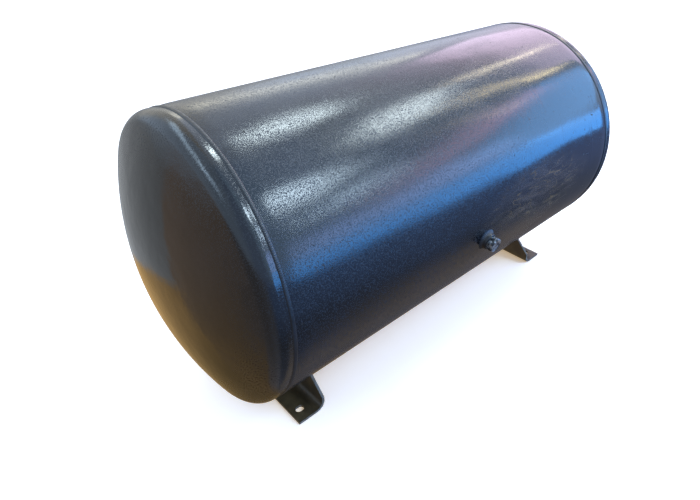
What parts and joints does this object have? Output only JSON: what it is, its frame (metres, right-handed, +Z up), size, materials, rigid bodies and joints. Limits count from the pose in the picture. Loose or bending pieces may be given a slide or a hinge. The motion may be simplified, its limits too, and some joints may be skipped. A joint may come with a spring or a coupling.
{
  "type": "horizontal pressure tank",
  "caption": "Horizontal welded steel pressure tank with dished heads, lying on bent plate feet with slots, with plugged threaded ports.",
  "frame": {"origin": "on the floor under the middle of the tank, at the centre of the four foot slots", "axes": "+X along the tank's axis from the left head to the right head, +Z up, -Y towards the side port"},
  "size_m": [1.239, 0.6516, 0.6608],
  "materials": {
    "enamel": "gloss enamel, blue-black",
    "foot_enamel": "thin enamel, brown-black, worn to bare metal along the cut edges",
    "plug_steel": "turned steel, zinc plated and thinly oversprayed"
  },
  "bodies": {
    "root": {"shell": "enamel", "seam_weld": "enamel", "left_head": "enamel", "right_head": "enamel", "left_girth_weld": "enamel", "right_girth_weld": "enamel", "left_foot": "foot_enamel", "left_foot_outer_weld": "foot_enamel", "left_foot_inner_weld": "foot_enamel", "right_foot": "foot_enamel", "right_foot_outer_weld": "foot_enamel", "right_foot_inner_weld": "foot_enamel", "side_boss": "enamel", "side_boss_weld": "enamel", "side_plug": "plug_steel", "rear_boss": "enamel", "rear_boss_weld": "enamel", "rear_plug": "plug_steel", "drain_boss": "enamel", "drain_boss_weld": "enamel", "drain_plug": "plug_steel"}
  },
  "joints": []
}
